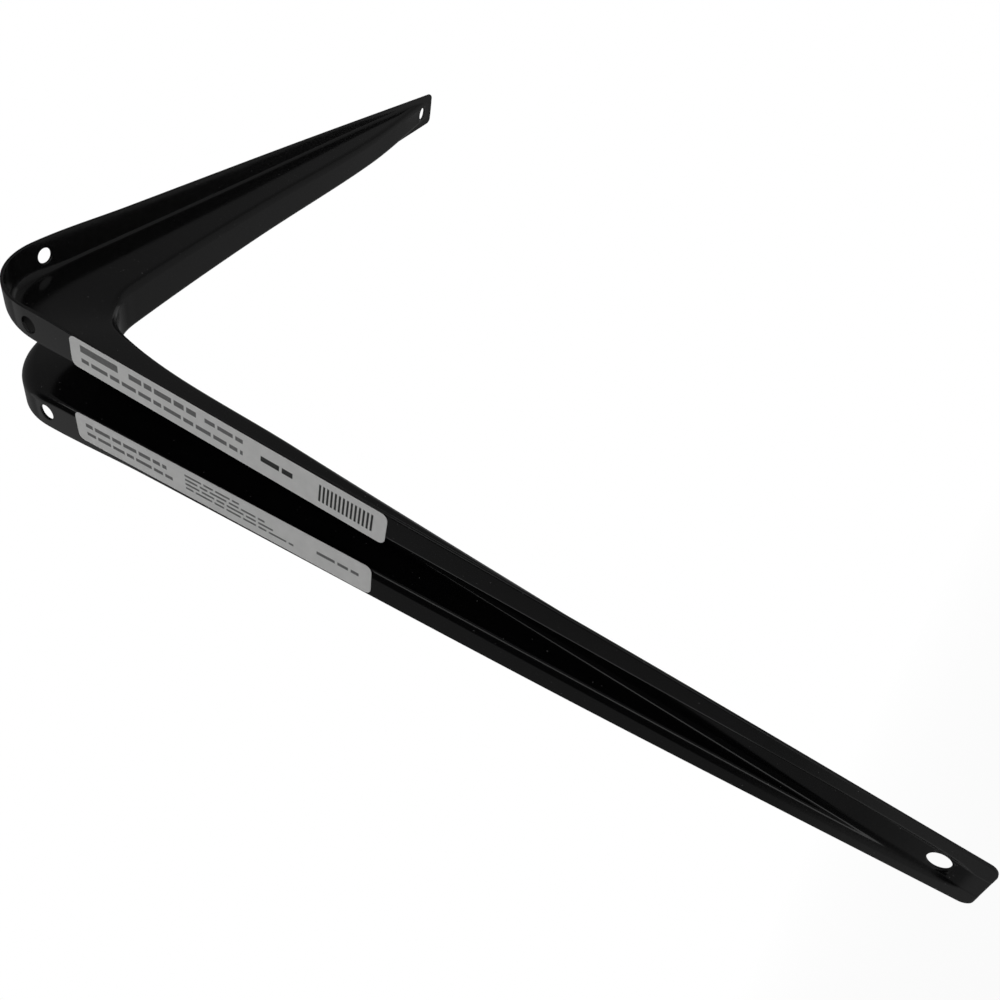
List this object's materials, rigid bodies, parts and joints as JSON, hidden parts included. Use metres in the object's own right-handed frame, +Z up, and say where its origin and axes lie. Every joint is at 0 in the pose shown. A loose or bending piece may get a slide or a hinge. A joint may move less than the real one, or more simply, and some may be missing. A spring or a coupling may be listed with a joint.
{
  "type": "shelf bracket",
  "caption": "L-shaped pressed steel shelf bracket with flanged, tapering channel legs, a rounded outer corner and screw holes by the corner and at each tip.",
  "frame": {"origin": "midway between the two upper wall screw holes, on the face that meets the wall", "axes": "+Z up, along the wall leg towards the shelf; +X out of the wall, along the shelf leg; +Y across the bracket"},
  "size_m": [0.2541, 0.0436, 0.3048],
  "materials": {
    "black_paint": "gloss",
    "label_paper": "matte"
  },
  "bodies": {
    "root": {"bracket": "black_paint", "left_label": "label_paper", "right_label": "label_paper"}
  },
  "joints": []
}
